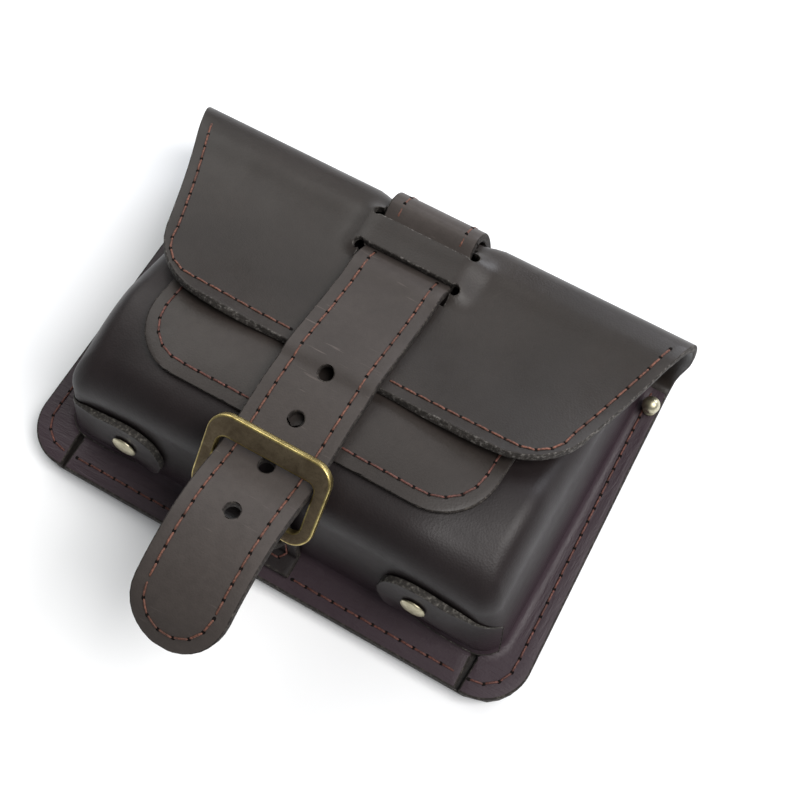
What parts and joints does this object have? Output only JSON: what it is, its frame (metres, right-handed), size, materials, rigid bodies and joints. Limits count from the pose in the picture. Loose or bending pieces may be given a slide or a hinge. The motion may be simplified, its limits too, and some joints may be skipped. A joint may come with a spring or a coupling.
{
  "type": "leather belt pouch",
  "caption": "Dark brown moulded leather belt pouch with a folding flap, a stitched strap that closes in a flat antique-brass buckle, riveted corner ears and a flat belt loop.",
  "frame": {"origin": "on the outer face of the belt loop behind the pouch, on its centre line, 60 mm above the bottom edge of the back panel", "axes": "+X across the width to the wearer's left seen from the front, +Y from the bottom edge towards the fold, +Z out of the front face"},
  "size_m": [0.176, 0.1603, 0.0671],
  "materials": {
    "back_leather": "smooth semi-gloss, waxed",
    "front_leather": "smooth semi-gloss, moulded",
    "strap_leather": "smooth satin",
    "ear_leather": "smooth, raw cut edge",
    "antique_brass": "satin, darkened face with bright edges",
    "rivet_brass": "pale satin"
  },
  "bodies": {
    "root": {"back_panel_flap": "back_leather", "front_pocket": "front_leather", "front_patch": "front_leather", "corner_ear_left": "ear_leather", "corner_ear_right": "ear_leather", "ear_rivet_left": "rivet_brass", "ear_rivet_right": "rivet_brass", "ball_stud_left": "rivet_brass", "ball_stud_right": "rivet_brass", "strap": "strap_leather", "buckle_frame": "antique_brass", "buckle_tab": "front_leather"}
  },
  "joints": []
}
